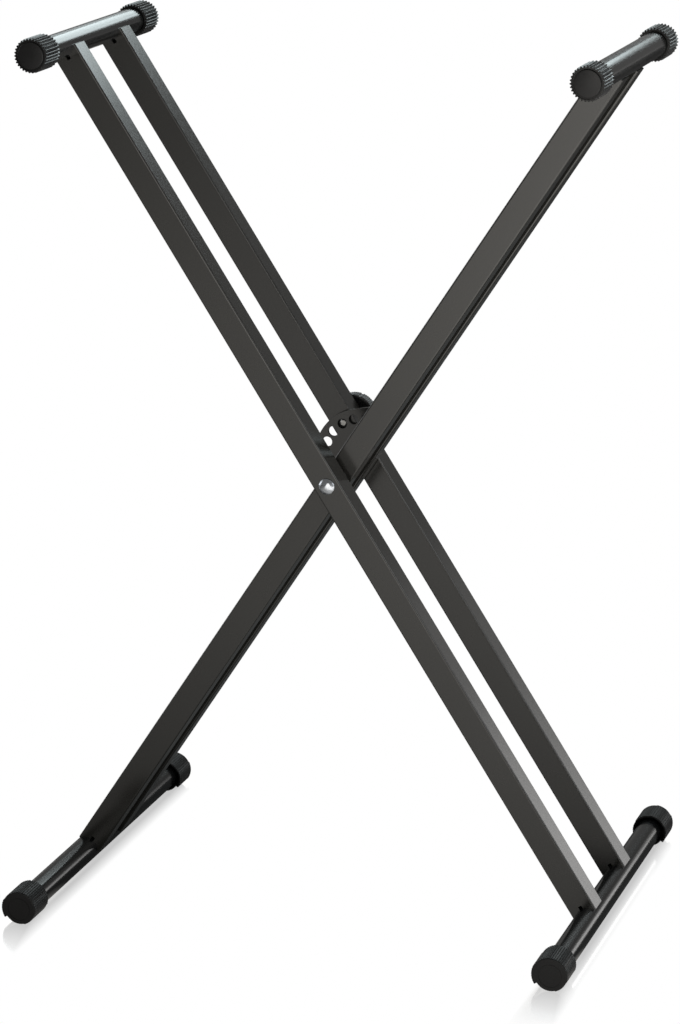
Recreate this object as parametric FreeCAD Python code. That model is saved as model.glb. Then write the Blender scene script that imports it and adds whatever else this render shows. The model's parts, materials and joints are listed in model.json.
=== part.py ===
import FreeCAD, Part
import math
import os

# Folding keyboard stand: two double-bar frames that cross at one pivot.
# The outer frame leans from top left to bottom right, the inner frame from top right to bottom left.
# Frame: X across the stand, Y from front to back, Z up, millimetres.
# Origin: on the floor, midway between the feet and midway between front and back.

Vector = FreeCAD.Vector
ORIGIN = Vector(0, 0, 0)
X_AXIS = Vector(1, 0, 0)
Y_AXIS = Vector(0, 1, 0)
Z_AXIS = Vector(0, 0, 1)

# ---------------------------------------------------------------- driving dimensions

# stance
leg_angle = 32.94           # lean of each frame from upright, degrees
half_bar = 573.0            # pivot to the axis of the tube at either end of a bar

# square bars
bar_side = 30.0             # across the flats
bar_wall = 1.5
bar_corner = 2.0            # outside corner radius
pair_gap = 4.8              # between an outer bar and the inner bar beside it
inner_bar_gap = 41.0        # between the two inner bars
saddle_lap = 7.25           # how far a bar's square end stands short of the tube axis
weld_gap = 0.05             # between a bar's saddle and the tube welded into it
drain_notch_width = 4.5     # square notch in the middle of a saddle, in both wide faces
drain_notch_depth = 3.8

# round tubes
tube_radius = 14.65
tube_wall = 1.5
arm_span = 347.6            # over the ends of an arm's two caps
foot_span = 512.0           # over the ends of a foot's two caps

# arm end caps, pressed on
arm_cap_length = 40.0
arm_cap_teeth = 31
arm_cap_tip_radius = 19.3
arm_cap_root_radius = 17.35
arm_cap_tip_flat = 0.5      # width of the flat on a tooth's tip
arm_cap_face = 3.0          # thickness of the closed end
arm_cap_boss_radius = 15.1  # smooth disc on the closed end
arm_cap_boss_round = 1.0
arm_cap_boss_proud = 0.6    # the disc stands this far beyond the teeth
arm_cap_groove_width = 1.6  # ring groove round the disc
arm_cap_groove_depth = 1.6
arm_cap_edge_round = 0.8
arm_cap_mouth_step = 0.75   # the mouth is wider than the tube by this much on the radius
arm_cap_mouth_depth = 3.0
cap_press_gap = 0.02

# foot end caps, turned by hand to level the stand
foot_cap_length = 40.0
foot_step_low = 18.3        # tube axis to the lowest step
foot_step_rise = 0.66       # each next step is this much higher
ribs_per_step = (10, 7, 7, 8, 8, 8)
rib_depth = 0.45
rib_crest_share = 0.56      # flat part of one rib's pitch
lowest_step_starts = 213.75 # angle from +X towards +Z, degrees, on the front caps
foot_cap_face = 3.0
foot_cap_edge_round = 1.8
foot_cap_skin = 1.5         # wall of the hollow mouth
foot_cap_mouth_depth = 18.0
foot_cap_ring_radius = 13.0
foot_cap_ring_width = 0.8
foot_cap_ring_depth = 0.35
foot_cap_turning_gap = 0.06 # on the radius, between cap and tube
foot_cap_end_gap = 0.3

# pivot
bolt_radius = 5.0
bolt_head_radius = 9.25
bolt_head_height = 5.0
bolt_rim_height = 1.0       # upright edge under the dome
bolt_tail = 2.0             # thread past the nut
bolt_gap = 0.08             # on the radius, in everything that turns on the bolt
sleeve_wall = 3.0           # pivot tube welded through both inner bars
crush_sleeve_wall = 2.0     # spacer tubes inside the outer bars
fit_gap = 0.05              # on the radius, of pieces that are fixed in holes
spacer_radius = 13.0
rear_washer_radius = 11.0
rear_washer_thickness = 2.0
nut_across_flats = 17.0
nut_height = 8.0
nut_collar_height = 2.5
nut_collar_radius = 7.2
nut_edge_round = 0.6

# locking plate, welded to the back of the rear inner bar
plate_thickness = 3.0
plate_radius = 58.3
plate_inset = 2.0           # plate's straight side stands in from the bar's edge
plate_flat_starts = 43.55   # where the plate's round edge runs out into a straight, from the inner bar
plate_end_margin = 22.0     # round edge goes on past the last hole, degrees
plate_foot = 28.0           # plate reaches this far below the pivot along the bar
lock_hole_radius = 5.9
lock_circle = 46.3          # pivot to the lock holes
lock_hole_count = 6
lock_hole_pitch = 18.4      # degrees
first_lock_angle = 10.7     # from the inner bar to the hole of the folded stand, degrees

# spring plunger through the rear outer bar
pin_radius = 4.0
pin_nose = 1.0              # chamfer on the pin's tip
pin_slide_gap = 0.06
pin_clear_of_plate = 0.5    # tip to plate with the pin drawn
pin_drive = 6.0             # from drawn to home
pin_overdraw = 2.0          # further pull, to the end of the travel
pin_collar_radius = 5.8
pin_collar_length = 3.0
stem_radius = 3.0
housing_radius = 7.0
housing_chamber_radius = 5.9
housing_front_wall = 5.0
housing_flange_radius = 11.0
housing_flange_thickness = 3.0
housing_flange_round = 0.8
housing_neck_radius = 9.0
housing_neck_length = 3.0
housing_plug_thickness = 4.0
plug_guide_radius = 3.6     # sleeve inside the spring, which ends the pull
spring_wire = 1.0
spring_radius = 4.45
spring_turns = 6
spring_seat_gap = 0.1

# knob
knob_radius = 25.5
knob_depth = 14.0
knob_wall = 3.2
knob_floor = 3.0
knob_lobes = 8
knob_ribs_per_lobe = 7
knob_notch_angle = 73.0     # one notch, from +X towards +Z, degrees
knob_rib_depth = 0.45
knob_rib_share = 0.6
knob_notch_depth = 1.3
knob_notch_share = 0.8      # flat bottom of a notch, of one rib's pitch
knob_rim_round = 2.0        # outer edge that faces the bar
knob_back_round = 1.1
knob_home_gap = 0.6         # rim to bar with the pin home
knob_boss_radius = 6.5
knob_boss_length = 4.0
knob_recess_radius = 5.5
knob_recess_depth = 1.6
screw_radius = 2.0
screw_length = 9.0
screw_head_radius = 3.9
screw_head_height = 1.5
screw_head_round = 0.7
screw_slot_width = 0.9
screw_slot_depth = 0.8

# ---------------------------------------------------------------- places worked out from them

lean = math.radians(leg_angle)
pivot_height = foot_step_low + half_bar * math.cos(lean)
inner_bar_inside = inner_bar_gap / 2
inner_bar_outside = inner_bar_inside + bar_side
outer_bar_inside = inner_bar_outside + pair_gap
outer_bar_outside = outer_bar_inside + bar_side
rear_spacer_thickness = pair_gap - plate_thickness
rib_pitch = 360.0 / sum(ribs_per_step)
pin_tip = inner_bar_outside + plate_thickness + pin_clear_of_plate
chamber_front = outer_bar_inside + housing_front_wall
housing_back = outer_bar_outside + housing_flange_thickness + housing_neck_length
chamber_back = housing_back - housing_plug_thickness
knob_rim = outer_bar_outside + knob_home_gap + pin_drive
knob_back = knob_rim + knob_depth
knob_inside = knob_back - knob_floor


# ---------------------------------------------------------------- helpers

def rod(radius, start, end):
    """A round bar on the Y axis from start to end."""
    return Part.makeCylinder(radius, end - start, Vector(0, start, 0), Y_AXIS)


def pipe(radius, bore, start, end):
    """A round tube on the Y axis from start to end."""
    return rod(radius, start, end).cut(rod(bore, start, end))


def polar(radius, degrees, y):
    """A point by radius and angle, the angle measured from +X towards +Z."""
    angle = math.radians(degrees)
    return Vector(radius * math.cos(angle), y, radius * math.sin(angle))


def prism(points, length):
    """A closed outline of points, all at one Y, carried along +Y."""
    outline = Part.makePolygon(points + [points[0]])
    return Part.Face(outline).extrude(Vector(0, length, 0))


def turned(profile, start, span):
    """A profile of (radius, y) corners turned about Y from one angle through a span, in degrees."""
    corners = [Vector(radius, y, 0) for radius, y in profile]
    face = Part.Face(Part.makePolygon(corners + [corners[0]]))
    return turned_face(face, start, span)


def turned_face(face, start, span):
    """A face in the XY plane turned about Y, which carries +X towards +Z."""
    placed = face.copy()
    placed.rotate(ORIGIN, Vector(0, -1, 0), start)
    return placed.revolve(ORIGIN, Vector(0, -1, 0), span)


def rounded_profile(radius, start, end, front_round, back_round):
    """Half section of a disc on the Y axis whose two outer edges can be rounded."""
    slope = math.sqrt(0.5)
    edges = []
    corner = Vector(0, start, 0)
    for side, size, face_y in ((1, front_round, start), (-1, back_round, end)):
        centre = Vector(radius - size, face_y + side * size, 0)
        outer = centre + Vector(size, 0, 0)
        middle = centre + Vector(size * slope, -side * size * slope, 0)
        inner = centre + Vector(0, -side * size, 0)
        first, last = (inner, outer) if side > 0 else (outer, inner)
        edges.append(Part.LineSegment(corner, first).toShape())
        if size > 0:
            edges.append(Part.Arc(first, middle, last).toShape())
        corner = last
    edges.append(Part.LineSegment(corner, Vector(0, end, 0)).toShape())
    edges.append(Part.LineSegment(Vector(0, end, 0), Vector(0, start, 0)).toShape())
    return Part.Face(Part.Wire(edges))


def on_frame(shape, side, reach=0.0):
    """Carry a shape from the Y axis to a point on a frame; side -1 is the outer frame, +1 the inner."""
    placed = shape.copy()
    placed.translate(Vector(side * reach * math.sin(lean), 0, pivot_height + reach * math.cos(lean)))
    return placed


def turned_back(shape):
    """The same piece at the other end of its tube."""
    placed = shape.copy()
    placed.rotate(ORIGIN, Z_AXIS, 180)
    return placed


# ---------------------------------------------------------------- bars and tubes

def square_section(side, corner, z):
    """A square with rounded corners in the plane at height z, centred on the Z axis."""
    half = side / 2
    if corner <= 0:
        box = [Vector(-half, -half, z), Vector(half, -half, z), Vector(half, half, z), Vector(-half, half, z)]
        return Part.Face(Part.makePolygon(box + [box[0]]))
    edges = []
    inner = half - corner
    slope = math.sqrt(0.5)
    start = None
    first = None
    for quarter in range(4):
        angle = math.radians(90 * quarter)
        along = Vector(math.cos(angle), math.sin(angle), 0)
        across = Vector(-math.sin(angle), math.cos(angle), 0)
        centre = (along + across) * inner + Vector(0, 0, z)
        begin = centre + along * corner
        middle = centre + (along + across) * (corner * slope)
        finish = centre + across * corner
        if start is None:
            first = begin
        else:
            edges.append(Part.LineSegment(start, begin).toShape())
        edges.append(Part.Arc(begin, middle, finish).toShape())
        start = finish
    edges.append(Part.LineSegment(start, first).toShape())
    return Part.Face(Part.Wire(edges))


def bar(side, near_y, pivot_hole):
    """One square bar, upright on the pivot, then leaned over; near_y is its front face."""
    half = half_bar - saddle_lap
    along = Vector(0, 0, 2 * half)
    outside = square_section(bar_side, bar_corner, -half).extrude(along)
    inside_corner = max(bar_corner - bar_wall, 0)
    inside = square_section(bar_side - 2 * bar_wall, inside_corner, -half).extrude(along)
    cuts = [inside, rod(pivot_hole, -bar_side, bar_side)]
    seat_radius = tube_radius + weld_gap
    notch_bottom = half_bar - tube_radius - drain_notch_depth
    notch_length = half_bar - notch_bottom
    for end in (half_bar, -half_bar):
        seat = rod(seat_radius, -bar_side, bar_side)
        seat.translate(Vector(0, 0, end))
        notch = Part.makeBox(drain_notch_width, 2 * bar_side, notch_length)
        low = notch_bottom if end > 0 else end
        notch.translate(Vector(-drain_notch_width / 2, -bar_side, low))
        cuts.extend([seat, notch])
    tube = outside.cut(cuts)
    tube.rotate(ORIGIN, Y_AXIS, side * leg_angle)
    tube.translate(Vector(0, near_y + bar_side / 2, pivot_height))
    return tube


def cross_tube(span, cap_face, end_gap, side, reach):
    """A round tube between two capped ends."""
    half = span / 2 - cap_face - end_gap
    return on_frame(pipe(tube_radius, tube_radius - tube_wall, -half, half), side, reach)


# ---------------------------------------------------------------- end caps

def arm_cap():
    """Front end cap of an arm: a toothed grip with a smooth disc on its closed end."""
    front = -arm_span / 2
    teeth_front = front + arm_cap_boss_proud
    back = front + arm_cap_length
    points = []
    pitch = 360.0 / arm_cap_teeth
    half_flat = math.degrees(arm_cap_tip_flat / 2 / arm_cap_tip_radius)
    for tooth in range(arm_cap_teeth):
        centre = 90 + tooth * pitch
        points.append(polar(arm_cap_tip_radius, centre - half_flat, teeth_front))
        points.append(polar(arm_cap_tip_radius, centre + half_flat, teeth_front))
        points.append(polar(arm_cap_root_radius, centre + pitch / 2, teeth_front))
    grip = prism(points, back - teeth_front)
    envelope = rounded_profile(
        arm_cap_tip_radius, teeth_front, back, arm_cap_edge_round, arm_cap_edge_round)
    grip = grip.common(turned_face(envelope, 0, 360))
    groove_radius = arm_cap_boss_radius + arm_cap_groove_width
    groove = pipe(groove_radius, arm_cap_boss_radius, teeth_front, teeth_front + arm_cap_groove_depth)
    boss_back = teeth_front + arm_cap_groove_depth
    boss = rounded_profile(arm_cap_boss_radius, front, boss_back, arm_cap_boss_round, 0)
    bore_radius = tube_radius + cap_press_gap
    mouth_radius = tube_radius + arm_cap_mouth_step
    cap = grip.cut(groove).fuse(turned_face(boss, 0, 360))
    cap = cap.cut([
        rod(bore_radius, front + arm_cap_face, back),
        rod(mouth_radius, back - arm_cap_mouth_depth, back)])
    return cap.removeSplitter()


def cam_steps():
    """Start angle, span, flat radius and ribs of each step of a foot cap, growing step by step."""
    start = lowest_step_starts
    for step, ribs in enumerate(ribs_per_step):
        yield start, ribs * rib_pitch, foot_step_low + step * foot_step_rise, ribs
        start += ribs * rib_pitch


def drop_wall(skin):
    """Angle that the hollow mouth's highest step stops short of the drop, to leave a wall there."""
    return math.degrees(foot_cap_skin / skin)


def foot_cap():
    """Front end cap of a foot: a ribbed cam of six steps, hollow at its mouth."""
    front = -foot_span / 2
    back = front + foot_cap_length
    half_crest = rib_crest_share * rib_pitch / 2
    crest_factor = 1 / math.cos(math.radians(half_crest))
    points = []
    smooth = []
    hollow = []
    mouth_front = back - foot_cap_mouth_depth
    for start, span, radius, ribs in cam_steps():
        crest = radius * crest_factor
        valley = radius - rib_depth
        points.append(polar(valley, start, front))
        for rib in range(ribs):
            centre = start + (rib + 0.5) * rib_pitch
            points.append(polar(crest, centre - half_crest, front))
            points.append(polar(crest, centre + half_crest, front))
            points.append(polar(valley, centre + rib_pitch / 2, front))
        edge = rounded_profile(crest, front, back, foot_cap_edge_round, foot_cap_edge_round / 3)
        smooth.append(turned_face(edge, start, span))
        skin = valley - foot_cap_skin
        room = [(0, mouth_front), (skin, mouth_front), (skin, back), (0, back)]
        kept = drop_wall(skin) if len(hollow) == len(ribs_per_step) - 1 else 0
        hollow.append(turned(room, start, span - kept))
    grip = prism(points, foot_cap_length).common(smooth[0].fuse(smooth[1:]))
    ring = pipe(
        foot_cap_ring_radius + foot_cap_ring_width / 2, foot_cap_ring_radius - foot_cap_ring_width / 2,
        front, front + foot_cap_ring_depth)
    bore = rod(tube_radius + foot_cap_turning_gap, front + foot_cap_face, back)
    cap = grip.cut([ring, bore] + hollow)
    return cap.removeSplitter()


# ---------------------------------------------------------------- pivot

def pivot_bolt():
    """Domed bolt through all four bars."""
    front = -outer_bar_outside
    dome_height = bolt_head_height - bolt_rim_height
    dome_radius = (bolt_head_radius ** 2 + dome_height ** 2) / (2 * dome_height)
    centre_y = front - bolt_head_height + dome_radius
    ball = Part.makeSphere(dome_radius, Vector(0, centre_y, 0))
    head = rod(bolt_head_radius, front - bolt_head_height, front).common(ball)
    tail = outer_bar_outside + rear_washer_thickness + nut_height + bolt_tail
    return on_frame(head.fuse(rod(bolt_radius, front, tail)).removeSplitter(), 1)


def pivot_nut():
    """Self-locking nut on the back."""
    start = outer_bar_outside + rear_washer_thickness
    corner = nut_across_flats / 2 / math.cos(math.radians(30))
    points = [polar(corner, 60 * side, start) for side in range(6)]
    body = prism(points, nut_height - nut_collar_height)
    collar_start = start + nut_height - nut_collar_height
    envelope = rounded_profile(corner, start, collar_start, nut_edge_round, nut_edge_round)
    body = body.common(turned_face(envelope, 0, 360))
    collar = rod(nut_collar_radius, collar_start, start + nut_height)
    nut = body.fuse(collar).cut(rod(bolt_radius, start, start + nut_height))
    return on_frame(nut, 1)


def pivot_washers():
    """Front spacer, thin spacer behind the locking plate, and the washer under the nut."""
    bore = bolt_radius + bolt_gap
    front = pipe(spacer_radius, bore, -outer_bar_inside, -inner_bar_outside)
    thin = pipe(spacer_radius, bore, outer_bar_inside - rear_spacer_thickness, outer_bar_inside)
    under_nut = pipe(rear_washer_radius, bore, outer_bar_outside, outer_bar_outside + rear_washer_thickness)
    return Part.makeCompound([on_frame(piece, 1) for piece in (front, thin, under_nut)])


def crush_sleeves():
    """Spacer tubes that keep the tightened bolt from crushing the outer bars."""
    bore = bolt_radius + bolt_gap
    sleeves = []
    for start in (-outer_bar_outside, outer_bar_inside):
        sleeve = pipe(bore + crush_sleeve_wall, bore, start + bar_wall, start + bar_side - bar_wall)
        sleeves.append(on_frame(sleeve, 1))
    return Part.makeCompound(sleeves)


# ---------------------------------------------------------------- lock

def on_inner_bar(along, across):
    """Point in the plate's plane: along the inner bar from the pivot, and across it to the left."""
    x = along * math.sin(lean) - across * math.cos(lean)
    z = along * math.cos(lean) + across * math.sin(lean)
    return Vector(x, inner_bar_outside, z)


def from_inner_bar(radius, degrees):
    """Point by radius and by angle from the inner bar's upper half."""
    angle = math.radians(degrees)
    return on_inner_bar(radius * math.cos(angle), radius * math.sin(angle))


def locking_plate():
    """Fan-shaped plate with one hole for each height of the stand and one for the folded stand."""
    last_lock_angle = first_lock_angle + (lock_hole_count - 1) * lock_hole_pitch
    round_ends = last_lock_angle + plate_end_margin
    side = -(bar_side / 2 - plate_inset)
    flat = math.radians(plate_flat_starts)
    flat_run = (plate_radius * math.sin(flat) - side) / math.cos(flat)
    top_along = plate_radius * math.cos(flat) + flat_run * math.sin(flat)
    round_start = from_inner_bar(plate_radius, plate_flat_starts)
    round_middle = from_inner_bar(plate_radius, (plate_flat_starts + round_ends) / 2)
    round_end = from_inner_bar(plate_radius, round_ends)
    top_corner = on_inner_bar(top_along, side)
    low_corner = on_inner_bar(-plate_foot, side)
    edges = [
        Part.LineSegment(low_corner, top_corner).toShape(),
        Part.LineSegment(top_corner, round_start).toShape(),
        Part.Arc(round_start, round_middle, round_end).toShape(),
        Part.LineSegment(round_end, low_corner).toShape()]
    plate = Part.Face(Part.Wire(edges)).extrude(Vector(0, plate_thickness, 0))
    back = inner_bar_outside + plate_thickness
    holes = [rod(bolt_radius + bolt_gap, inner_bar_outside, back)]
    for number in range(lock_hole_count):
        holes.append(lock_hole(number, inner_bar_outside, back))
    return on_frame(plate.cut(holes), 1)


def lock_hole(number, start, end):
    """Cutter for one lock hole of the plate, counted from the folded stand's."""
    cutter = rod(lock_hole_radius, start, end)
    centre = from_inner_bar(lock_circle, first_lock_angle + number * lock_hole_pitch)
    cutter.translate(Vector(centre.x, 0, centre.z))
    return cutter


def on_lock_axis(shape):
    """Carry a piece from the Y axis to the plunger's place on the rear outer bar."""
    return on_frame(shape, -1, lock_circle)


def lock_housing():
    """Flanged guide through the rear outer bar, bored for the pin and for its spring."""
    body = rod(housing_radius, outer_bar_inside, outer_bar_outside)
    flange_back = outer_bar_outside + housing_flange_thickness
    flange = rounded_profile(
        housing_flange_radius, outer_bar_outside, flange_back, 0, housing_flange_round)
    neck = rod(housing_neck_radius, flange_back, housing_back)
    housing = body.fuse([turned_face(flange, 0, 360), neck])
    housing = housing.cut([
        rod(pin_radius + pin_slide_gap, outer_bar_inside, housing_back),
        rod(housing_chamber_radius, chamber_front, housing_back)])
    return on_lock_axis(housing)


def lock_housing_plug():
    """Ring that closes the housing behind the spring; its sleeve guides the stem and ends the pull."""
    stop = chamber_front + pin_drive + pin_collar_length + pin_overdraw
    ring = rod(housing_chamber_radius - fit_gap, chamber_back, housing_back)
    plug = ring.fuse(rod(plug_guide_radius, stop, chamber_back))
    return on_lock_axis(plug.cut(rod(stem_radius + pin_slide_gap, stop, housing_back)))


def lock_spring():
    """Compression spring between the pin's collar and the plug."""
    front = chamber_front + pin_drive + pin_collar_length + spring_seat_gap
    length = chamber_back - spring_seat_gap - front - spring_wire
    helix = Part.makeHelix(length / spring_turns, length, spring_radius)
    section = Part.Wire(Part.makeCircle(spring_wire / 2, Vector(spring_radius, 0, 0), Y_AXIS))
    coil = Part.Wire(helix.Edges).makePipe(Part.Face(section))
    coil.rotate(ORIGIN, X_AXIS, -90)
    coil.translate(Vector(0, front + spring_wire / 2, 0))
    return on_lock_axis(coil)


def lock_pin():
    """Locking pin with its collar and stem, drawn just clear of the plate."""
    collar_front = chamber_front + pin_drive
    collar_back = collar_front + pin_collar_length
    nose = [
        (0, pin_tip), (pin_radius - pin_nose, pin_tip), (pin_radius, pin_tip + pin_nose),
        (pin_radius, collar_front), (pin_collar_radius, collar_front), (pin_collar_radius, collar_back),
        (stem_radius, collar_back), (stem_radius, knob_inside), (0, knob_inside)]
    pin = turned(nose, 0, 360)
    seat = knob_back - knob_recess_depth
    return on_lock_axis(pin.cut(rod(screw_radius, seat - screw_length, seat)))


def lock_knob():
    """Hollow eight-lobed knob, open towards the bar."""
    rib_count = knob_lobes * (knob_ribs_per_lobe + 1)
    pitch = 360.0 / rib_count
    crest = knob_rib_share * pitch / 2
    valley = knob_radius - knob_rib_depth
    points = []
    for rib in range(rib_count):
        centre = knob_notch_angle + rib * pitch
        if rib % (knob_ribs_per_lobe + 1) == 0:
            half = knob_notch_share * pitch / 2
            points.append(polar(knob_radius - knob_notch_depth, centre - half, knob_rim))
            points.append(polar(knob_radius - knob_notch_depth, centre + half, knob_rim))
        else:
            points.append(polar(knob_radius, centre - crest, knob_rim))
            points.append(polar(knob_radius, centre + crest, knob_rim))
        points.append(polar(valley, centre + pitch / 2, knob_rim))
    envelope = rounded_profile(knob_radius, knob_rim, knob_back, knob_rim_round, knob_back_round)
    grip = prism(points, knob_depth).common(turned_face(envelope, 0, 360))
    grip = grip.cut(rod(knob_radius - knob_wall, knob_rim, knob_inside))
    boss = pipe(knob_boss_radius, stem_radius + fit_gap, knob_inside - knob_boss_length, knob_inside)
    knob = grip.fuse(boss).cut([
        rod(screw_radius + fit_gap, knob_inside, knob_back),
        rod(knob_recess_radius, knob_back - knob_recess_depth, knob_back)])
    return on_lock_axis(knob)


def knob_screw():
    """Screw that holds the knob on the stem, its head sunk in the knob."""
    seat = knob_back - knob_recess_depth
    head_back = seat + screw_head_height
    head = rounded_profile(screw_head_radius, seat, head_back, 0, screw_head_round)
    shank = rod(screw_radius, seat - screw_length, seat)
    slot = Part.makeBox(screw_slot_width, screw_slot_depth, 2 * screw_head_radius)
    slot.translate(Vector(-screw_slot_width / 2, head_back - screw_slot_depth, -screw_head_radius))
    return on_lock_axis(turned_face(head, 0, 360).fuse(shank).cut(slot))


# ---------------------------------------------------------------- the parts

def outer_rear_bar():
    """Rear bar of the outer frame, drilled for the lock housing."""
    plain = bar(-1, outer_bar_inside, bolt_radius + bolt_gap)
    hole = rod(housing_radius + fit_gap, outer_bar_inside - 1, outer_bar_outside + 1)
    return plain.cut(on_lock_axis(hole))


def inner_rear_bar():
    """Rear bar of the inner frame; the folded stand's lock hole goes on through its back wall."""
    sleeve_hole = bolt_radius + bolt_gap + sleeve_wall + fit_gap
    plain = bar(1, inner_bar_inside, sleeve_hole)
    hole = lock_hole(0, inner_bar_outside - 2 * bar_wall, inner_bar_outside + 1)
    return plain.cut(on_frame(hole, 1))


def build():
    """Every node of the stand by name."""
    bore = bolt_radius + bolt_gap
    sleeve_radius = bore + sleeve_wall
    parts = {
        "outer_front_bar": bar(-1, -outer_bar_outside, bore),
        "outer_rear_bar": outer_rear_bar(),
        "inner_front_bar": bar(1, -inner_bar_outside, sleeve_radius + fit_gap),
        "inner_rear_bar": inner_rear_bar(),
        "pivot_bolt": pivot_bolt(),
        "pivot_lock_nut": pivot_nut(),
        "pivot_washers": pivot_washers(),
        "pivot_crush_sleeves": crush_sleeves(),
        "pivot_sleeve": on_frame(pipe(sleeve_radius, bore, -inner_bar_outside, inner_bar_outside), 1),
        "locking_plate": locking_plate(),
        "lock_housing": lock_housing(),
        "lock_housing_plug": lock_housing_plug(),
        "lock_spring": lock_spring(),
        "lock_pin": lock_pin(),
        "lock_knob": lock_knob(),
        "knob_screw": knob_screw()}
    front_arm_cap = arm_cap()
    front_foot_cap = foot_cap()
    for frame, side in (("outer", -1), ("inner", 1)):
        parts[frame + "_arm_tube"] = cross_tube(arm_span, arm_cap_face, 0, side, half_bar)
        parts[frame + "_arm_cap_front"] = on_frame(front_arm_cap, side, half_bar)
        parts[frame + "_arm_cap_rear"] = on_frame(turned_back(front_arm_cap), side, half_bar)
        parts[frame + "_foot_tube"] = cross_tube(
            foot_span, foot_cap_face, foot_cap_end_gap, side, -half_bar)
        parts[frame + "_foot_cap_front"] = on_frame(front_foot_cap, side, -half_bar)
        parts[frame + "_foot_cap_rear"] = on_frame(turned_back(front_foot_cap), side, -half_bar)
    return parts


os.makedirs("parts", exist_ok=True)
for name, shape in build().items():
    if not shape.isValid():
        print("not valid:", name)
    shape.exportStep(os.path.join("parts", name + ".step"))
    print(name, len(shape.Solids), round(shape.Volume / 1000, 2), "cm3")
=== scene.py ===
import json
import math

import bpy
import numpy as np
from mathutils import Matrix, Vector


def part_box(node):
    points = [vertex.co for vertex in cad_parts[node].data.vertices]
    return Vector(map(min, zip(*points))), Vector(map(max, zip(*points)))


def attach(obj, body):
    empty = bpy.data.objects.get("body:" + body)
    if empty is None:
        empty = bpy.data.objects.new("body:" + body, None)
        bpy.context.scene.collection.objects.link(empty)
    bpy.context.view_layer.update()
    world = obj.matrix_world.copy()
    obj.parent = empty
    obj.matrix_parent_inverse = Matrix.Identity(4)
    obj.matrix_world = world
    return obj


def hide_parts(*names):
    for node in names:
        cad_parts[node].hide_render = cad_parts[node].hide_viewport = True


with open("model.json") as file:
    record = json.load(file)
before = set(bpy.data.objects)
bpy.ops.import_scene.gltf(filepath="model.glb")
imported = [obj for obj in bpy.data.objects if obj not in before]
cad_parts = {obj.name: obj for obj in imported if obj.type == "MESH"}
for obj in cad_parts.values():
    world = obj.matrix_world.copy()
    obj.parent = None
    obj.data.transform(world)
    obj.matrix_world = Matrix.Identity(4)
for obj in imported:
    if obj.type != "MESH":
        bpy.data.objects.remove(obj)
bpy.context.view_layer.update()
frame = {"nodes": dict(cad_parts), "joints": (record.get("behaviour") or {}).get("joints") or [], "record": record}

MM = 0.001                      # in metres

# ---------------------------------------------------------------- places read from the frame

JOINTS = {joint["name"]: joint for joint in frame["joints"]}
PIVOT = Vector(JOINTS["fold"]["pos_m"])
FRONT_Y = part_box("outer_front_bar")[0].y


def box_middle(node):
    """Middle of a node's box."""
    low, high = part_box(node)
    return (low + high) / 2


def axis_along_y(node):
    """Point at y = 0 on the axis of a round node that lies along Y."""
    middle = box_middle(node)
    return Vector((middle.x, 0, middle.z))


SIDES = ("outer", "inner")
ARM_AXES = {side: axis_along_y(side + "_arm_tube") for side in SIDES}
FOOT_AXES = {side: axis_along_y(side + "_foot_tube") for side in SIDES}
LOCK_AXIS = axis_along_y("lock_pin")

# ---------------------------------------------------------------- camera of the photograph

PICTURE_HEIGHT_PX = 1024
FOCAL_PX = 3591.744
SENSOR_MM = 36.0
CLIP_NEAR = 0.1
CLIP_FAR = 60
EYE_FROM_PIVOT = Vector((1.199205, -3.698676, 1.036836))   # from the pivot on the front bar's face
CAMERA_TURN = 0.309668          # radians, as the next two
CAMERA_DIP = 0.267647
CAMERA_ROLL = 0.003318


def place_camera():
    """Camera from its turn about Z, its dip below the horizon and its roll."""
    ahead = Vector((
        -math.sin(CAMERA_TURN) * math.cos(CAMERA_DIP), math.cos(CAMERA_TURN) * math.cos(CAMERA_DIP),
        -math.sin(CAMERA_DIP)))
    level = Vector((math.cos(CAMERA_TURN), math.sin(CAMERA_TURN), 0))
    upright = level.cross(ahead)
    right = level * math.cos(CAMERA_ROLL) + upright * math.sin(CAMERA_ROLL)
    up = upright * math.cos(CAMERA_ROLL) - level * math.sin(CAMERA_ROLL)
    data = bpy.data.cameras.new("camera")
    data.sensor_width = SENSOR_MM
    data.lens = FOCAL_PX / PICTURE_HEIGHT_PX * SENSOR_MM
    data.clip_start = CLIP_NEAR
    data.clip_end = CLIP_FAR
    camera = bpy.data.objects.new("camera", data)
    eye = Vector((PIVOT.x, FRONT_Y, PIVOT.z)) + EYE_FROM_PIVOT
    turn = Matrix((right, up, -ahead)).transposed().to_4x4()
    camera.matrix_world = Matrix.Translation(eye) @ turn
    bpy.context.scene.collection.objects.link(camera)
    bpy.context.scene.camera = camera


# ---------------------------------------------------------------- shader building

NOISE_ROUGHNESS = 0.55
NOISE_LOW = 0.25                # nearly all of the noise lies between these two
NOISE_HIGH = 0.75
MOTTLE_DARK = 0.3               # noise at which a mottled colour is darkest
MOTTLE_LIGHT = 0.7


def new_material(name, **sockets):
    """A material with its shader's constant sockets set by name; a roughness map may overrule one."""
    material = bpy.data.materials.new(name)
    material.use_nodes = True
    shader = material.node_tree.nodes["Principled BSDF"]
    for socket, value in sockets.items():
        shader.inputs[socket.replace("_", " ")].default_value = value
    return material, material.node_tree, shader


def add_node(tree, kind, **values):
    """A node with properties and input values set by name."""
    node = tree.nodes.new(kind)
    for key, value in values.items():
        if hasattr(node, key):
            setattr(node, key, value)
        else:
            node.inputs[key.replace("_", " ")].default_value = value
    return node


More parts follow.
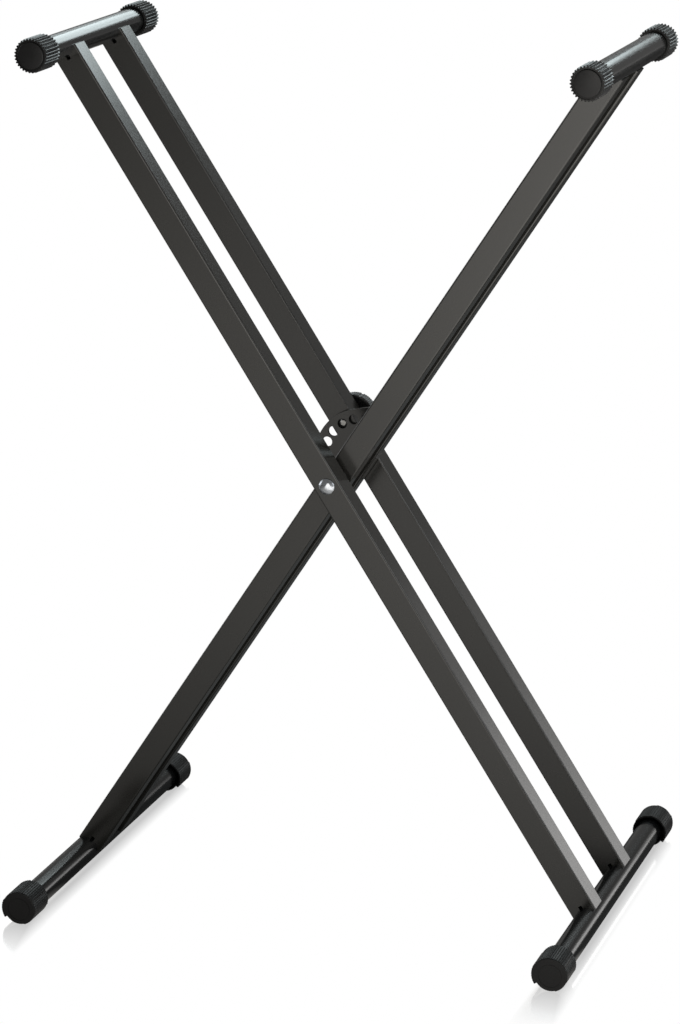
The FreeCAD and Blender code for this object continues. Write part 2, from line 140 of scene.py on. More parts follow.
def noise(tree, scale, detail, stretch=None):
    """Noise on the piece's own coordinates; stretch scales them along X, Y and Z."""
    place = add_node(tree, "ShaderNodeTexCoord")
    source = place.outputs["Object"]
    if stretch:
        mapping = add_node(tree, "ShaderNodeMapping")
        mapping.inputs["Scale"].default_value = stretch
        tree.links.new(source, mapping.inputs["Vector"])
        source = mapping.outputs["Vector"]
    texture = add_node(tree, "ShaderNodeTexNoise", Scale=scale, Detail=detail, Roughness=NOISE_ROUGHNESS)
    tree.links.new(source, texture.inputs["Vector"])
    return texture.outputs["Fac"]


def ramp(tree, source, stops):
    """Colour ramp through (position, colour) stops."""
    node = tree.nodes.new("ShaderNodeValToRGB")
    points = node.color_ramp.elements
    while len(points) < len(stops):
        points.new(0.5)
    for point, (position, colour) in zip(points, stops):
        point.position = position
        point.color = (*colour, 1)
    tree.links.new(source, node.inputs["Fac"])
    return node.outputs["Color"]


def span(tree, source, low, high):
    """Map noise onto low..high."""
    node = tree.nodes.new("ShaderNodeMapRange")
    node.inputs["From Min"].default_value = NOISE_LOW
    node.inputs["From Max"].default_value = NOISE_HIGH
    node.inputs["To Min"].default_value = low
    node.inputs["To Max"].default_value = high
    tree.links.new(source, node.inputs["Value"])
    return node.outputs["Result"]


def bumps(tree, shader, layers):
    """Chain of bump nodes from (height source, depth in metres, strength) layers."""
    normal = None
    for source, depth, strength in layers:
        node = add_node(tree, "ShaderNodeBump", Strength=strength, Distance=depth)
        tree.links.new(source, node.inputs["Height"])
        if normal:
            tree.links.new(normal, node.inputs["Normal"])
        normal = node.outputs["Normal"]
    tree.links.new(normal, shader.inputs["Normal"])


def shade(colour, factor):
    """A colour made lighter or darker."""
    return tuple(min(1.0, channel * factor) for channel in colour)


def mottle(tree, shader, base, scale, darker, lighter):
    """Base colour that drifts with soft noise between two shades of itself; the noise is returned."""
    cloud = noise(tree, scale, detail=3.0)
    stops = [(MOTTLE_DARK, shade(base, darker)), (MOTTLE_LIGHT, shade(base, lighter))]
    tree.links.new(ramp(tree, cloud, stops), shader.inputs["Base Color"])
    return cloud


def vary_roughness(tree, shader, source, low, high):
    """Roughness that follows a noise between two values."""
    tree.links.new(span(tree, source, low, high), shader.inputs["Roughness"])


# ---------------------------------------------------------------- finishes

BAR_BLACK = (0.014, 0.0138, 0.0125)
TUBE_BLACK = (0.006, 0.0063, 0.0065)
RUBBER_BLACK = (0.005, 0.005, 0.0052)
COAT_ROUGHNESS = (0.155, 0.185)     # of both powder coats
RUBBER_SPECULAR = 0.20


def bar_powder_coat():
    """Satin black powder coat with a fine grain, on the square bars."""
    material, tree, shader = new_material("bar_powder_coat", Roughness=sum(COAT_ROUGHNESS) / 2)
    mottle(tree, shader, BAR_BLACK, scale=9.0, darker=0.9, lighter=1.1)
    grain = noise(tree, scale=900.0, detail=2.0)
    skin = noise(tree, scale=260.0, detail=3.0)
    vary_roughness(tree, shader, skin, *COAT_ROUGHNESS)
    bumps(tree, shader, [(skin, 0.00001, 0.1), (grain, 0.000004, 0.15)])
    return material


def tube_powder_coat():
    """Smoother semi-gloss black coat on the round tubes."""
    material, tree, shader = new_material("tube_powder_coat", Roughness=sum(COAT_ROUGHNESS) / 2)
    mottle(tree, shader, TUBE_BLACK, scale=14.0, darker=0.9, lighter=1.12)
    skin = noise(tree, scale=300.0, detail=3.0)
    vary_roughness(tree, shader, skin, *COAT_ROUGHNESS)
    bumps(tree, shader, [(skin, 0.000002, 0.1)])
    return material


def moulded_rubber(name, base, roughness):
    """Matt black rubber with a faint mould texture and handling marks."""
    material, tree, shader = new_material(name, Roughness=roughness, Specular_IOR_Level=RUBBER_SPECULAR)
    cloud = mottle(tree, shader, base, scale=60.0, darker=0.85, lighter=1.2)
    grain = noise(tree, scale=1500.0, detail=2.0)
    vary_roughness(tree, shader, cloud, roughness - 0.05, roughness + 0.06)
    bumps(tree, shader, [(grain, 0.00005, 0.3)])
    return material


def plated(name, base, roughness, scratch, dents=0.0):
    """Plated or ground steel; scratch is the strength of its fine turning marks, dents of soft dents."""
    material, tree, shader = new_material(name, Metallic=1.0, Roughness=roughness)
    mottle(tree, shader, base, scale=90.0, darker=0.92, lighter=1.05)
    marks = noise(tree, scale=500.0, detail=3.0, stretch=(1.0, 0.08, 1.0))
    vary_roughness(tree, shader, marks, roughness * 0.8, roughness * 1.25)
    hollows = noise(tree, scale=230.0, detail=1.0)
    bumps(tree, shader, [(marks, 0.00003, scratch), (hollows, 0.0006, dents)])
    return material


def moulded_plastic(name, base, roughness):
    """Fine-grained moulded plastic."""
    material, tree, shader = new_material(name, Roughness=roughness)
    mottle(tree, shader, base, scale=50.0, darker=0.9, lighter=1.15)
    grain = noise(tree, scale=1200.0, detail=2.0)
    vary_roughness(tree, shader, grain, roughness - 0.04, roughness + 0.05)
    bumps(tree, shader, [(grain, 0.00006, 0.3)])
    return material


FINISHES = {
    "bar_powder_coat": bar_powder_coat(),
    "tube_powder_coat": tube_powder_coat(),
    "arm_cap_rubber": moulded_rubber("arm_cap_rubber", RUBBER_BLACK, 0.30),
    "foot_cap_rubber": moulded_rubber("foot_cap_rubber", RUBBER_BLACK, 0.42),
    "bright_chrome": plated("bright_chrome", (0.42, 0.44, 0.47), 0.24, 0.3, 1.0),
    "zinc_steel": plated("zinc_steel", (0.60, 0.61, 0.62), 0.32, 0.2),
    "pin_steel": plated("pin_steel", (0.34, 0.34, 0.33), 0.36, 0.2),
    "spring_steel": plated("spring_steel", (0.33, 0.33, 0.34), 0.35, 0.2),
    "black_nylon": moulded_plastic("black_nylon", (0.018, 0.018, 0.019), 0.5),
    "knob_plastic": moulded_plastic("knob_plastic", (0.014, 0.0145, 0.015), 0.26)}
# painted shade: the lock housing is near-black steel in place of its slot's zinc, to darken the mouth round the
# pin's hole where shade falls
PAINTED_SHADE_FINISHES = {"lock_housing": plated("painted_shade_steel", (0.03, 0.03, 0.031), 0.45, 0.2)}

NODE_SLOT = {part["node"]: part["material_slot"] for part in frame["record"]["subparts"]}
BODY_OF = {
    node: body for body, nodes in frame["record"]["behaviour"]["bodies"].items() for node in nodes}


def finish_cad_nodes():
    """Give every node of the frame its finish; the lock housing instead gets a near-black steel that paints the
    shade round the pin's hole.
    """
    for name, node in frame["nodes"].items():
        node.data.materials.clear()
        node.data.materials.append(PAINTED_SHADE_FINISHES.get(name) or FINISHES[NODE_SLOT[name]])


# ---------------------------------------------------------------- surfaces in mm, round an axis along Y

SHARP_EDGE = math.radians(32)
ROUND_STEPS = 160               # angles of a piece that is plain round


def add_piece(name, node, axis, rings, turned_back=False):
    """A closed surface of rings round an axis along Y; it replaces a node and rides on its body.

    rings is a list of (radius, y): radius is a number or an array over the angles from +X towards +Z.
    A ring of radius 0 becomes one point.  turned_back turns the piece end for end about Z."""
    steps = max(np.size(radius) for radius, y in rings)
    if steps == 1:
        steps = ROUND_STEPS
    angle = np.linspace(0, 2 * math.pi, steps, endpoint=False)
    way = -1 if turned_back else 1
    vertices = []
    rows = []
    for radius, y in rings:
        if np.max(radius) <= 0:
            rows.append([len(vertices)] * steps)
            vertices.append((0.0, way * y, 0.0))
        else:
            rows.append(list(range(len(vertices), len(vertices) + steps)))
            x = way * radius * np.cos(angle)
            z = radius * np.sin(angle)
            vertices.extend(zip(x, np.full(steps, way * y), z))
    faces = []
    for near, far in zip(rows[:-1], rows[1:]):
        for step in range(steps):
            after = (step + 1) % steps
            corners = (near[step], far[step], far[after], near[after])
            faces.append(tuple(dict.fromkeys(corners)))
    mesh = bpy.data.meshes.new(name)
    places = np.array(vertices) * MM + np.array(axis)
    mesh.from_pydata(places.tolist(), [], faces)
    mesh.materials.append(FINISHES[NODE_SLOT[node]])
    mesh.shade_smooth()
    mesh.set_sharp_from_angle(angle=SHARP_EDGE)
    piece = bpy.data.objects.new(name, mesh)
    bpy.context.scene.collection.objects.link(piece)
    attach(piece, BODY_OF[node])
    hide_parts(node)


STRAIGHT_START = 0.3            # a ring this far past a rounded edge keeps its shading off the long wall
EDGE_PARTS = 5


def rounded_edge(outline, limit, y, way, size):
    """Rings of a quarter round: from the face at y out to the full radius, way +1 or -1 along Y.

    limit is the greatest radius of the outline, where the quarter round of the size ends."""
    rings = []
    for part in range(EDGE_PARTS + 1):
        turn = math.pi / 2 * part / EDGE_PARTS
        edge = limit - size + size * math.sin(turn)
        rings.append((np.minimum(outline, edge), y + way * size * (1 - math.cos(turn))))
    rings.append((outline, y + way * (size + STRAIGHT_START)))
    return rings


# ---------------------------------------------------------------- round tubes

TUBE_RADIUS = 14.65
TUBE_END_ROUND = 0.4


def round_tube(node, axis):
    """A plain tube; both of its ends are hidden in caps."""
    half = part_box(node)[1].y / MM
    rings = [(0.0, -half)]
    rings += rounded_edge(TUBE_RADIUS, TUBE_RADIUS, -half, 1, TUBE_END_ROUND)
    rings += rounded_edge(TUBE_RADIUS, TUBE_RADIUS, half, -1, TUBE_END_ROUND)[::-1]
    rings += [(0.0, half)]
    add_piece("smooth_" + node, node, axis, rings)


# ---------------------------------------------------------------- arm end caps

ARM_CAP_TEETH = 31
ARM_CAP_SAMPLES = 14            # angles per tooth
ARM_CAP_LENGTH = 40.0
ARM_CAP_TIP = 19.3
ARM_CAP_ROOT = 17.35
ARM_CAP_EDGE = 0.8
ARM_CAP_FACE = 3.0
ARM_CAP_BORE = 14.67
BOSS_RADIUS = 15.1              # the smooth disc, which stands proud of the teeth
BOSS_ROUND = 1.0
BOSS_PROUD = 0.6
GROOVE_WIDTH = 1.6              # the groove between the disc and the teeth
GROOVE_DEPTH = 1.6
ARM_MOUTH_RADIUS = 15.4
ARM_MOUTH_DEPTH = 3.0


def toothed_outline():
    """Radius over the angles of 31 rounded teeth, one of them on top.

    r = root + (tip - root) * (1 + cos(31 (a - 90 deg))) / 2"""
    angle = np.linspace(0, 2 * math.pi, ARM_CAP_TEETH * ARM_CAP_SAMPLES, endpoint=False)
    wave = (1 + np.cos(ARM_CAP_TEETH * (angle - math.pi / 2))) / 2
    return ARM_CAP_ROOT + (ARM_CAP_TIP - ARM_CAP_ROOT) * wave


def arm_cap(side, end):
    """Toothed grip with a smooth disc on its closed end, and a mouth that lets the tube in."""
    node = side + "_arm_cap_" + end
    front = -abs(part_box(node)[0 if end == "front" else 1].y) / MM
    teeth_front = front + BOSS_PROUD
    groove_floor = teeth_front + GROOVE_DEPTH
    groove_outside = BOSS_RADIUS + GROOVE_WIDTH
    back = front + ARM_CAP_LENGTH
    outline = toothed_outline()
    rings = [(0.0, front)]
    rings += rounded_edge(BOSS_RADIUS, BOSS_RADIUS, front, 1, BOSS_ROUND)
    rings += [(BOSS_RADIUS, groove_floor), (groove_outside, groove_floor), (groove_outside, teeth_front)]
    rings += rounded_edge(outline, ARM_CAP_TIP, teeth_front, 1, ARM_CAP_EDGE)
    rings += rounded_edge(outline, ARM_CAP_TIP, back, -1, ARM_CAP_EDGE)[::-1]
    rings += [
        (ARM_MOUTH_RADIUS, back), (ARM_MOUTH_RADIUS, back - ARM_MOUTH_DEPTH),
        (ARM_CAP_BORE, back - ARM_MOUTH_DEPTH), (ARM_CAP_BORE, front + ARM_CAP_FACE),
        (0.0, front + ARM_CAP_FACE)]
    add_piece("grip_" + node, node, ARM_AXES[side], rings, end == "rear")


# ---------------------------------------------------------------- foot end caps

RIBS_PER_STEP = (10, 7, 7, 8, 8, 8)
RIB_SAMPLES = 12                # angles per rib
LOWEST_STEP_STARTS = 213.75     # degrees from +X towards +Z, on the front caps
STEP_LOW = 18.3                 # radius of the lowest step
STEP_RISE = 0.66
RIB_DEPTH = 0.6
CREST_SHARE = 0.5               # flat part of a rib's pitch
FOOT_CAP_LENGTH = 40.0
FOOT_CAP_EDGE = 1.8
FOOT_CAP_BACK_EDGE = 0.6
FOOT_CAP_FACE = 3.0
FOOT_CAP_SKIN = 1.5
FOOT_MOUTH_DEPTH = 18.0
FOOT_CAP_BORE = 14.71
RING_RADIUS = 13.0              # the ring sunk in the closed face
RING_WIDTH = 0.8
RING_DEPTH = 0.35
STEP_EDGE_SLACK = 1e-9          # in ribs, so that a rib's first angle is on its own step


def cam_outlines():
    """Outer radius of the ribbed cam over the angles, its steps' radius and the radius of its hollow.

    Counted in ribs from the big drop, a rib's crest is flat over its share of the pitch and its
    flanks fall as (1 + cos) / 2 to the valleys; each step of ribs is one rise higher than the last."""
    ribs = sum(RIBS_PER_STEP)
    count = ribs * RIB_SAMPLES
    angle = np.arange(count) * 360.0 / count
    along = ((angle - LOWEST_STEP_STARTS) % 360.0) / 360.0 * ribs
    bounds = np.cumsum(RIBS_PER_STEP)
    step = np.searchsorted(bounds, along + STEP_EDGE_SLACK, side="right")
    step = np.minimum(step, len(RIBS_PER_STEP) - 1)
    flat = STEP_LOW + step * STEP_RISE
    off_centre = np.abs(along % 1.0 - 0.5)
    flank = np.clip((off_centre - CREST_SHARE / 2) / (0.5 - CREST_SHARE / 2), 0, 1)
    outline = flat - RIB_DEPTH * (1 - np.cos(math.pi * flank)) / 2
    hollow = flat - RIB_DEPTH - FOOT_CAP_SKIN
    wall = FOOT_CAP_SKIN / hollow.max() / (2 * math.pi) * ribs
    hollow = np.where(along > ribs - wall, STEP_LOW - RIB_DEPTH - FOOT_CAP_SKIN, hollow)
    return outline, flat, hollow


def foot_cap(side, end):
    """Ribbed cam of six steps, hollow at its mouth."""
    node = side + "_foot_cap_" + end
    front = -abs(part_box(node)[0 if end == "front" else 1].y) / MM
    back = front + FOOT_CAP_LENGTH
    outline, flat, hollow = cam_outlines()
    inner_ring = RING_RADIUS - RING_WIDTH / 2
    outer_ring = RING_RADIUS + RING_WIDTH / 2
    rings = [
        (0.0, front), (inner_ring, front), (inner_ring, front + RING_DEPTH),
        (outer_ring, front + RING_DEPTH), (outer_ring, front)]
    rings += rounded_edge(outline, flat, front, 1, FOOT_CAP_EDGE)
    rings += rounded_edge(outline, flat, back, -1, FOOT_CAP_BACK_EDGE)[::-1]
    rings += [
        (hollow, back), (hollow, back - FOOT_MOUTH_DEPTH), (FOOT_CAP_BORE, back - FOOT_MOUTH_DEPTH),
        (FOOT_CAP_BORE, front + FOOT_CAP_FACE), (0.0, front + FOOT_CAP_FACE)]
    add_piece("cam_" + node, node, FOOT_AXES[side], rings, end == "rear")


# ---------------------------------------------------------------- pivot bolt

HEAD_RADIUS = 9.25
DOME_PARTS = 24
HEAD_HEIGHT = 5.0
HEAD_RIM = 1.0
HEAD_RIM_ROUND = 0.35
BOLT_RADIUS = 5.0
THREAD_PITCH = 1.5
THREAD_DEPTH = 0.7
THREAD_TURNS = 6


def pivot_bolt():
    """Domed head, plain shank and a threaded tail of V-shaped rings."""
    low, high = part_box("pivot_bolt")
    front = low.y / MM
    tail = high.y / MM
    seat = front + HEAD_HEIGHT
    dome = HEAD_HEIGHT - HEAD_RIM
    ball = (HEAD_RADIUS ** 2 + dome ** 2) / (2 * dome)
    reach = HEAD_RADIUS - HEAD_RIM_ROUND / 2
    rings = []
    for part in range(DOME_PARTS + 1):
        radius = reach * part / DOME_PARTS
        rings.append((radius, front + ball - math.sqrt(ball ** 2 - radius ** 2)))
    rings += [(HEAD_RADIUS, rings[-1][1] + HEAD_RIM_ROUND), (HEAD_RADIUS, seat), (BOLT_RADIUS, seat)]
    thread_start = tail - THREAD_TURNS * THREAD_PITCH
    rings.append((BOLT_RADIUS, thread_start))
    for turn in range(THREAD_TURNS):
        valley = thread_start + (turn + 0.5) * THREAD_PITCH
        rings += [(BOLT_RADIUS - THREAD_DEPTH, valley), (BOLT_RADIUS, valley + THREAD_PITCH / 2)]
    rings[-1] = (BOLT_RADIUS - THREAD_DEPTH, tail)
    rings.append((0.0, tail))
    add_piece("domed_pivot_bolt", "pivot_bolt", (PIVOT.x, 0, PIVOT.z), rings)


# ---------------------------------------------------------------- lock

PIN_RADIUS = 4.0
PIN_NOSE = 1.0
PIN_LENGTH = 12.3               # tip to collar
COLLAR_RADIUS = 5.8
COLLAR_LENGTH = 3.0
STEM_RADIUS = 3.0
KNOB_RADIUS = 25.5
KNOB_WALL = 3.2
KNOB_FLOOR = 3.0
KNOB_LOBES = 8
KNOB_SLOTS = 8                  # seven ribs and one notch to a lobe
KNOB_SAMPLES = 12               # angles per rib
KNOB_NOTCH_ANGLE = 73.0
KNOB_RIB_DEPTH = 0.7
KNOB_NOTCH_DEPTH = 1.3
KNOB_NOTCH_RISE = 1.45          # a notch is whole up to (rise - 1) / fall ribs from its middle
KNOB_NOTCH_FALL = 1.6           # and gone at rise / fall
KNOB_RIM_ROUND = 0.9
KNOB_BACK_ROUND = 1.1
KNOB_BOSS_RADIUS = 6.5
KNOB_BOSS_LENGTH = 4.0
KNOB_BOSS_ROUND = 0.4
KNOB_RECESS_RADIUS = 5.5
KNOB_RECESS_DEPTH = 1.6
STEM_HOLE = 3.05


def lock_pin():
    """Locking pin with a chamfered nose, its collar and its stem."""
    low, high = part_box("lock_pin")
    tip = low.y / MM
    collar = tip + PIN_LENGTH
    rings = [
        (0.0, tip), (PIN_RADIUS - PIN_NOSE, tip), (PIN_RADIUS, tip + PIN_NOSE), (PIN_RADIUS, collar),
        (COLLAR_RADIUS, collar), (COLLAR_RADIUS, collar + COLLAR_LENGTH),
        (STEM_RADIUS, collar + COLLAR_LENGTH), (STEM_RADIUS, high.y / MM), (0.0, high.y / MM)]
    add_piece("ground_lock_pin", "lock_pin", LOCK_AXIS, rings)


def knob_outline():
    """Radius of the knob over the angles: eight lobes of seven ribs, with a wide notch between lobes.

    Each of the 64 places round the rim dips as ((1 + cos) / 2) ** 2; a notch dips deeper, with its
    sides eased as 3 t ** 2 - 2 t ** 3."""
    places = KNOB_LOBES * KNOB_SLOTS
    count = places * KNOB_SAMPLES
    angle = np.arange(count) * 360.0 / count
    along = ((angle - KNOB_NOTCH_ANGLE) % 360.0) / 360.0 * places
    between_ribs = ((1 + np.cos(2 * math.pi * (along - 0.5))) / 2) ** 2
    from_notch = np.abs((along + KNOB_SLOTS / 2) % KNOB_SLOTS - KNOB_SLOTS / 2)
    notch = np.clip(KNOB_NOTCH_RISE - KNOB_NOTCH_FALL * from_notch, 0, 1)
    notch = notch * notch * (3 - 2 * notch)
    return KNOB_RADIUS - np.maximum(KNOB_RIB_DEPTH * between_ribs, KNOB_NOTCH_DEPTH * notch)


def lock_knob():
    """Hollow knob, open towards the bar, with a boss for the stem and a recess for the screw."""
    low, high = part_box("lock_knob")
    rim = low.y / MM
    back = high.y / MM
    inside = back - KNOB_FLOOR
    hollow = KNOB_RADIUS - KNOB_WALL
    outline = knob_outline()
    rings = [(0.0, inside), (STEM_HOLE, inside), (STEM_HOLE, inside - KNOB_BOSS_LENGTH)]
    rings += rounded_edge(KNOB_BOSS_RADIUS, KNOB_BOSS_RADIUS, inside - KNOB_BOSS_LENGTH, 1, KNOB_BOSS_ROUND)
    rings += [(KNOB_BOSS_RADIUS, inside), (hollow, inside), (hollow, rim)]
    rings += rounded_edge(outline, KNOB_RADIUS, rim, 1, KNOB_RIM_ROUND)
    rings += rounded_edge(outline, KNOB_RADIUS, back, -1, KNOB_BACK_ROUND)[::-1]
    rings += [
        (KNOB_RECESS_RADIUS, back), (KNOB_RECESS_RADIUS, back - KNOB_RECESS_DEPTH),
        (0.0, back - KNOB_RECESS_DEPTH)]
    add_piece("ribbed_lock_knob", "lock_knob", LOCK_AXIS, rings)


def make_pieces():
    """Every piece that takes the place of a plain node."""
    for side in SIDES:
        round_tube(side + "_arm_tube", ARM_AXES[side])
        round_tube(side + "_foot_tube", FOOT_AXES[side])
        for end in ("front", "rear"):
            arm_cap(side, end)
            foot_cap(side, end)
    pivot_bolt()
    lock_pin()
    lock_knob()


# ---------------------------------------------------------------- studio

COOL = (0.86, 0.98, 1.0)
WARM = (1.0, 0.97, 0.92)
SOFT_WHITE = (1.0, 0.99, 0.98)
DAY_WHITE = (0.97, 0.99, 1.0)
LAMPS = (                       # name, place, point it looks at, size, watts, colour
    ("back_box", (0.725, 3.0, 2.6), (0.725, 0.0, 2.6), (1.25, 1.45), 27, COOL),
    ("middle_box", (-0.425, 3.0, 2.68), (-0.425, 0.0, 2.68), (1.05, 1.25), 19, COOL),
    ("left_box", (-1.55, 3.0, 2.08), (-1.55, 0.0, 2.08), (1.1, 0.85), 3, COOL),
    ("front_box", (0.6, -4.2, 1.3), (0.0, 0.0, 0.5), (2.6, 2.0), 40, WARM),
    ("right_glow", (2.47, 3.4, 0.35), (0.2, 0.0, 0.2), (1.35, 0.8), 7, SOFT_WHITE),
    ("soft_glow", (1.72, 3.4, 0.5), (0.2, 0.0, 0.4), (0.55, 0.9), 0.7, SOFT_WHITE),
    ("side_box", (2.8, -1.4, 1.9), (0.0, 0.0, 0.6), (1.2, 1.6), 8, DAY_WHITE),
    ("left_wall_box", (-3.4, 0.1, 1.5), (0.0, 0.1, 0.6), (1.8, 2.2), 34, DAY_WHITE),
    ("right_wall_box", (3.4, 0.1, 1.5), (0.0, 0.1, 0.6), (1.8, 2.2), 34, DAY_WHITE))


def area_light(name, place, target, size, power, colour):
    """A soft rectangular lamp that looks at a point."""
    data = bpy.data.lights.new(name, "AREA")
    data.shape = "RECTANGLE"
    data.size, data.size_y = size
    data.energy = power
    data.color = colour
    lamp = bpy.data.objects.new(name, data)
    lamp.location = place
    lamp.rotation_euler = (Vector(target) - Vector(place)).to_track_quat("-Z", "Y").to_euler()
    bpy.context.scene.collection.objects.link(lamp)


def light_studio():
    """Cool boxes high behind, a warm one in front, low glows behind on the right, boxes at the sides."""
    for lamp in LAMPS:
        area_light(*lamp)


ROOM_COLOUR = (1.0, 0.985, 0.96)
ROOM_LIGHT = 0.22


def build_world():
    """White behind everything the camera sees; a dim even room for the light."""
    world = bpy.data.worlds.new("studio")
    bpy.context.scene.world = world
    world.use_nodes = True
    tree = world.node_tree
    room = tree.nodes["Background"]
    room.inputs["Color"].default_value = (*ROOM_COLOUR, 1)
    room.inputs["Strength"].default_value = ROOM_LIGHT
    seen = add_node(tree, "ShaderNodeBackground", Color=(1, 1, 1, 1), Strength=1.0)
    path = add_node(tree, "ShaderNodeLightPath")
    mix = tree.nodes.new("ShaderNodeMixShader")
    tree.links.new(path.outputs["Is Camera Ray"], mix.inputs["Fac"])
    tree.links.new(room.outputs["Background"], mix.inputs[1])
    tree.links.new(seen.outputs["Background"], mix.inputs[2])
    tree.links.new(mix.outputs["Shader"], tree.nodes["World Output"].inputs["Surface"])


FLOOR_HALF = 12.0
FLOOR_DROP = 0.0002
LIT_FLOOR_START = 0.12          # right of a foot the lit floor starts this far ahead of the middle
LIT_FLOOR_SOFT = 0.1            # and is whole this much farther
LIT_FLOOR_LEVEL = 0.36
LIT_FLOOR_RISE = 0.7            # brightness gained per metre to the front
LIT_FLOOR_CURVE = 0.12          # and per square metre
LIT_FLOOR_TURN = 1.2            # and per metre to the right, as a power of e
LIT_FLOOR_TOP = 2.4
LIT_BACK_LEVEL = 1.1            # lit floor behind the stand, for the views from there
LIT_BACK_ASIDE = 0.75           # it starts this far to either side of the middle
LIT_BACK_END = 3.0              # and ends this far behind
MIRROR_HALF_LENGTH = 0.256      # the floor mirrors only a strip along each foot
MIRROR_RIGHT = 0.010
MIRROR_LEFT = 0.015
MIRROR_FADE_AHEAD = 0.105
MIRROR_FADE_RIGHT = 0.019
MIRROR_FADE_LEFT = 0.006
MIRROR_BASE = 0.56              # brightness of the floor where it mirrors something black
SHEEN_GAIN = 2.0                # strength of what it mirrors
SHEEN_ROUGHNESS = 0.12
FLOOR_GREY = 0.12               # how much of the lamps' light the floor throws back
EDGE_SOFT = 0.4                 # width over which the lit floor behind begins and ends


def calculate(tree, operation, *values, clamp=False):
    """A math node on sockets or numbers."""
    node = tree.nodes.new("ShaderNodeMath")
    node.operation = operation
    node.use_clamp = clamp
    for socket, value in zip(node.inputs, values):
        if isinstance(value, (int, float)):
            socket.default_value = value
        else:
            tree.links.new(value, socket)
    return node.outputs["Value"]


def floor_places(tree):
    """X and Y of the floor's own coordinates."""
    place = add_node(tree, "ShaderNodeTexCoord")
    split = tree.nodes.new("ShaderNodeSeparateXYZ")
    tree.links.new(place.outputs["Object"], split.inputs["Vector"])
    return split.outputs["X"], split.outputs["Y"]


def offset_from_foot(tree, across):
    """How far a place lies to the right of the foot on its own side."""
    own_foot = calculate(tree, "MULTIPLY", calculate(tree, "SIGN", across), FOOT_AXES["outer"].x)
    return calculate(tree, "SUBTRACT", across, own_foot)


def past(tree, value, edge, way=1):
    """0 up to an edge and 1 beyond it, softly; way -1 is 1 before the edge."""
    return calculate(
        tree, "MULTIPLY", calculate(tree, "SUBTRACT", value, edge), way / EDGE_SOFT, clamp=True)


def lit_back_floor(tree, across, back):
    """Even light from the floor at either side behind the stand, none straight behind it."""
    aside = past(tree, calculate(tree, "ABSOLUTE", across), LIT_BACK_ASIDE)
    behind = calculate(tree, "MULTIPLY", past(tree, back, 0.0), past(tree, back, LIT_BACK_END, -1))
    return calculate(tree, "MULTIPLY", calculate(tree, "MULTIPLY", aside, behind), LIT_BACK_LEVEL)


def lit_floor(tree, across, back):
    """Light that the floor throws up: (level + rise * a + curve * a * a) * exp(turn * x), a = -y.

    It throws none close beside a foot on its right, and behind the stand none but lit_back_floor's."""
    ahead = calculate(tree, "MULTIPLY", back, -1.0)
    slope = calculate(tree, "ADD", calculate(tree, "MULTIPLY", ahead, LIT_FLOOR_CURVE), LIT_FLOOR_RISE)
    level = calculate(tree, "ADD", calculate(tree, "MULTIPLY", ahead, slope), LIT_FLOOR_LEVEL)
    turn = calculate(tree, "EXPONENT", calculate(tree, "MULTIPLY", across, LIT_FLOOR_TURN))
    level = calculate(tree, "MINIMUM", calculate(tree, "MULTIPLY", level, turn), LIT_FLOOR_TOP)
    beside_foot = calculate(tree, "GREATER_THAN", offset_from_foot(tree, across), 0.0)
    start = calculate(tree, "MULTIPLY", beside_foot, LIT_FLOOR_START)
    past_start = calculate(tree, "SUBTRACT", ahead, start)
    begun = calculate(tree, "DIVIDE", past_start, LIT_FLOOR_SOFT, clamp=True)
    level = calculate(tree, "MULTIPLY", level, begun)
    level = calculate(tree, "MAXIMUM", level, lit_back_floor(tree, across, back))
    glow = add_node(tree, "ShaderNodeEmission", Color=(*WARM, 1))
    tree.links.new(level, glow.inputs["Strength"])
    return glow.outputs[0]


def mirror_strip(tree, across, back):
    """1 beside a foot, falling to 0 ahead of it and to either side, faster on the left."""
    offset = offset_from_foot(tree, across)
    fades = []
    for way, width, fade in ((1, MIRROR_RIGHT, MIRROR_FADE_RIGHT), (-1, MIRROR_LEFT, MIRROR_FADE_LEFT)):
        aside = calculate(tree, "SUBTRACT", calculate(tree, "MULTIPLY", offset, way), width)
        fades.append(calculate(tree, "DIVIDE", aside, fade))
    beyond_end = calculate(tree, "SUBTRACT", calculate(tree, "ABSOLUTE", back), MIRROR_HALF_LENGTH)
    fades.append(calculate(tree, "DIVIDE", beyond_end, MIRROR_FADE_AHEAD))
    farthest = 0.0
    for fade in fades:
        farthest = calculate(tree, "MAXIMUM", fade, farthest)
    return calculate(tree, "SUBTRACT", 1.0, farthest, clamp=True)


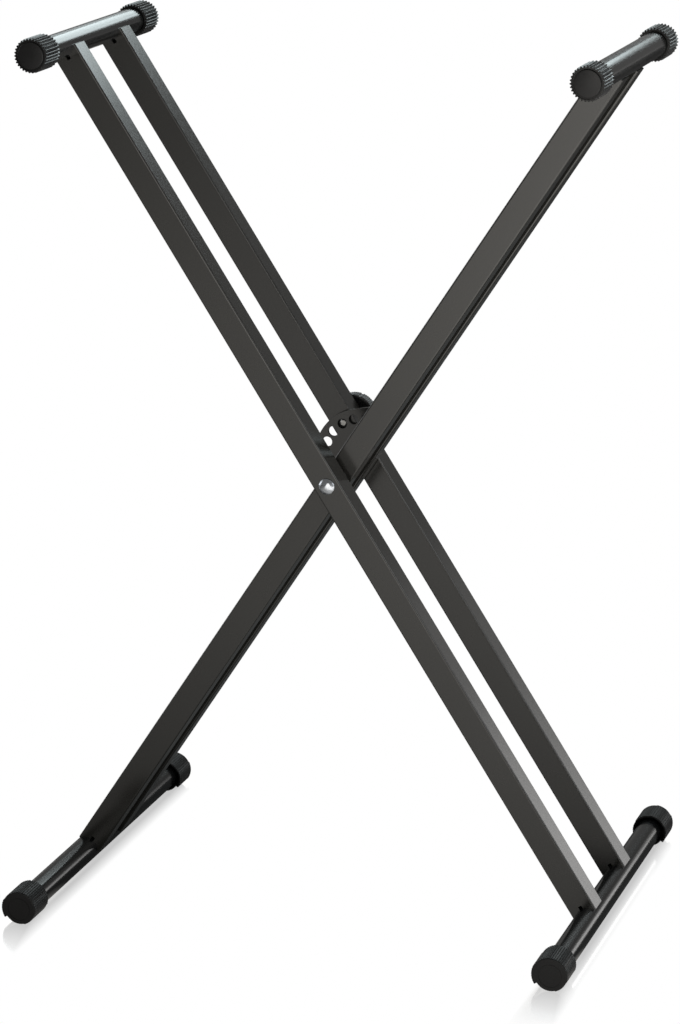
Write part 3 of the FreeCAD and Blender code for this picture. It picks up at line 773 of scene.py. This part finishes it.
def lay_floor():
    """White floor that mirrors the feet faintly, near them only, and throws light onto the stand."""
    mesh = bpy.data.meshes.new("floor")
    corners = [(x * FLOOR_HALF, y * FLOOR_HALF, 0) for x, y in ((-1, -1), (1, -1), (1, 1), (-1, 1))]
    mesh.from_pydata(corners, [], [(0, 1, 2, 3)])
    floor = bpy.data.objects.new("floor", mesh)
    floor.location.z = -FLOOR_DROP
    bpy.context.scene.collection.objects.link(floor)
    material = bpy.data.materials.new("floor")
    material.use_nodes = True
    tree = material.node_tree
    tree.nodes.remove(tree.nodes["Principled BSDF"])
    across, back = floor_places(tree)
    matt = add_node(tree, "ShaderNodeBsdfDiffuse", Color=(*(FLOOR_GREY,) * 3, 1))
    thrown = tree.nodes.new("ShaderNodeAddShader")
    tree.links.new(matt.outputs[0], thrown.inputs[0])
    tree.links.new(lit_floor(tree, across, back), thrown.inputs[1])
    sheen = add_node(
        tree, "ShaderNodeBsdfAnisotropic", Color=(*(SHEEN_GAIN,) * 3, 1), Roughness=SHEEN_ROUGHNESS)
    base = add_node(tree, "ShaderNodeEmission", Color=(1, 1, 1, 1), Strength=MIRROR_BASE)
    polished = tree.nodes.new("ShaderNodeAddShader")
    tree.links.new(sheen.outputs[0], polished.inputs[0])
    tree.links.new(base.outputs[0], polished.inputs[1])
    white = add_node(tree, "ShaderNodeEmission", Color=(1, 1, 1, 1), Strength=1.0)
    shown = tree.nodes.new("ShaderNodeMixShader")
    tree.links.new(mirror_strip(tree, across, back), shown.inputs["Fac"])
    tree.links.new(white.outputs[0], shown.inputs[1])
    tree.links.new(polished.outputs[0], shown.inputs[2])
    path = add_node(tree, "ShaderNodeLightPath")
    seen = tree.nodes.new("ShaderNodeMixShader")
    tree.links.new(path.outputs["Is Camera Ray"], seen.inputs["Fac"])
    tree.links.new(thrown.outputs[0], seen.inputs[1])
    tree.links.new(shown.outputs[0], seen.inputs[2])
    tree.links.new(seen.outputs[0], tree.nodes["Material Output"].inputs["Surface"])
    mesh.materials.append(material)


# ---------------------------------------------------------------- the scene

finish_cad_nodes()
make_pieces()
place_camera()
light_studio()
build_world()
lay_floor()
bpy.context.scene.view_settings.view_transform = "Standard"
